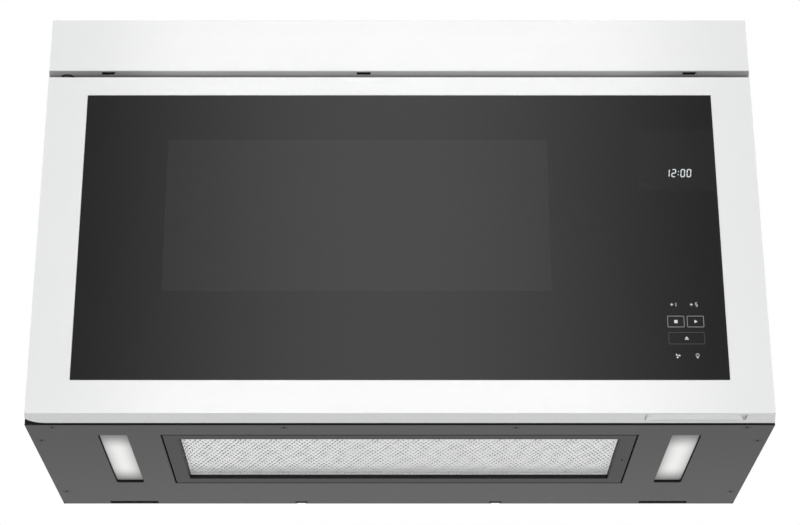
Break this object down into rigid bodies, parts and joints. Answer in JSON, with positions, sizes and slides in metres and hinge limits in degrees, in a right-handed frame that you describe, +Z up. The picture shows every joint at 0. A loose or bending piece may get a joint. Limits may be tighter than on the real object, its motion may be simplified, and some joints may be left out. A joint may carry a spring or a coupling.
{
  "type": "over the range microwave",
  "caption": "Shallow wall-hung microwave oven with a full-width side-hinged glass door, a pocket handle, and a cooker hood with grease filter and lamps in its base.",
  "frame": {"origin": "middle of the underside of the whole oven", "axes": "+Z up, the door faces -Y, +X to the right seen from the front"},
  "size_m": [0.76, 0.3132, 0.468],
  "materials": {
    "white_front": "semi-gloss white coating",
    "black_frame": "satin black enamel",
    "case_paint": "fine textured grey paint",
    "zinc_sheet": "bright galvanised sheet steel",
    "cavity_enamel": "speckled light grey enamel",
    "ceramic": "smooth pale glass ceramic",
    "steel": "zinc plated steel",
    "aluminium": "plain sheet aluminium",
    "expanded_aluminium": "bright expanded aluminium mesh",
    "black_plastic": "moulded",
    "grey_plastic": "moulded",
    "white_plastic": "moulded",
    "circuit_board": "solder mask and parts",
    "copper_winding": "varnished copper windings on a steel core",
    "dark_glass": "tinted tempered glass, gloss",
    "clear_pane": "clear inner pane",
    "lamp_lens": "frosted lamp lens",
    "charcoal": "activated charcoal in a moulded frame"
  },
  "bodies": {
    "case": {"base_plate": "case_paint", "front_frame": "black_frame", "outer_case": "case_paint", "back_panel": "zinc_sheet", "top_panel": "white_front", "charcoal_filter": "charcoal", "cavity_shell": "cavity_enamel", "ceramic_floor": "ceramic", "waveguide": "zinc_sheet", "antenna_motor": "steel", "magnetron_yoke": "zinc_sheet", "magnetron_core": "aluminium", "component_shelf": "zinc_sheet", "hv_transformer": "copper_winding", "hv_capacitor": "aluminium", "hv_diode": "black_plastic", "power_board": "circuit_board", "cavity_lamp": "white_plastic", "cooling_fan_frame": "black_plastic", "blower_housing_left": "zinc_sheet", "blower_housing_right": "zinc_sheet", "blower_motor": "steel", "damper_frame": "zinc_sheet", "hood_air_duct": "zinc_sheet", "cord_gland": "black_plastic", "upper_hinge_bracket": "steel", "upper_hinge_bush": "black_plastic", "lower_hinge_bracket": "steel", "interlock_bracket": "black_plastic", "primary_switch": "grey_plastic", "secondary_switch": "grey_plastic", "left_light_lens": "lamp_lens", "right_light_lens": "lamp_lens", "left_light_housing": "white_plastic", "right_light_housing": "white_plastic", "left_light_board": "circuit_board", "right_light_board": "circuit_board"},
    "door": {"door_frame": "white_front", "door_glass": "dark_glass", "door_inner_panel": "black_frame", "door_screen": "black_frame", "door_inner_pane": "clear_pane", "display_module": "black_plastic", "touch_board": "circuit_board", "upper_hinge_pin": "steel", "lower_hinge_bush": "black_plastic", "latch_spring": "steel"},
    "latch": {"latch_bar": "grey_plastic"},
    "primary_button": {"primary_plunger": "white_plastic"},
    "secondary_button": {"secondary_plunger": "white_plastic"},
    "grease_filter": {"grease_filter_frame": "case_paint", "grease_filter_mesh": "expanded_aluminium", "grease_filter_screw": "steel"},
    "antenna": {"rotating_antenna": "aluminium"},
    "blower_rotor": {"blower_shaft": "steel", "blower_wheel_left": "white_plastic", "blower_wheel_right": "white_plastic"},
    "cooling_rotor": {"cooling_fan_rotor": "grey_plastic"},
    "damper": {"damper_flap": "aluminium"}
  },
  "joints": [
    {"name": "door_hinge", "type": "hinge", "parent": "case", "child": "door", "pos_m": [-0.3567, -0.14235, 0.19], "axis": [0, 0, -1], "range_deg": [0, 100]},
    {"name": "latch_lift", "type": "slide", "parent": "door", "child": "latch", "axis": [0, 0, 1], "range_m": [0, 0.0035], "stiffness_N_per_m": 400, "springref_m": -0.006, "deforming": ["latch_spring"]},
    {"name": "primary_switch_press", "type": "slide", "parent": "case", "child": "primary_button", "axis": [0, 1, 0], "range_m": [0, 0.001], "stiffness_N_per_m": 600, "springref_m": -0.0005},
    {"name": "secondary_switch_press", "type": "slide", "parent": "case", "child": "secondary_button", "axis": [0, 1, 0], "range_m": [0, 0.001], "stiffness_N_per_m": 600, "springref_m": -0.0005},
    {"name": "grease_filter_drop", "type": "hinge", "parent": "case", "child": "grease_filter", "pos_m": [-0.2439, -0.00645, 0], "axis": [0, 1, 0], "range_deg": [0, 85]},
    {"name": "antenna_spin", "type": "hinge", "parent": "case", "child": "antenna", "pos_m": [-0.044, 0.00205, 0.08], "axis": [0, 0, 1], "continuous": true},
    {"name": "blower_spin", "type": "hinge", "parent": "case", "child": "blower_rotor", "pos_m": [0, 0.06455, 0.39335], "axis": [1, 0, 0], "continuous": true},
    {"name": "cooling_fan_spin", "type": "hinge", "parent": "case", "child": "cooling_rotor", "pos_m": [0.262, 0.08455, 0.1215], "axis": [0, 1, 0], "continuous": true},
    {"name": "damper_lift", "type": "hinge", "parent": "case", "child": "damper", "pos_m": [0, 0.13455, 0.457], "axis": [-1, 0, 0], "range_deg": [0, 70]}
  ]
}
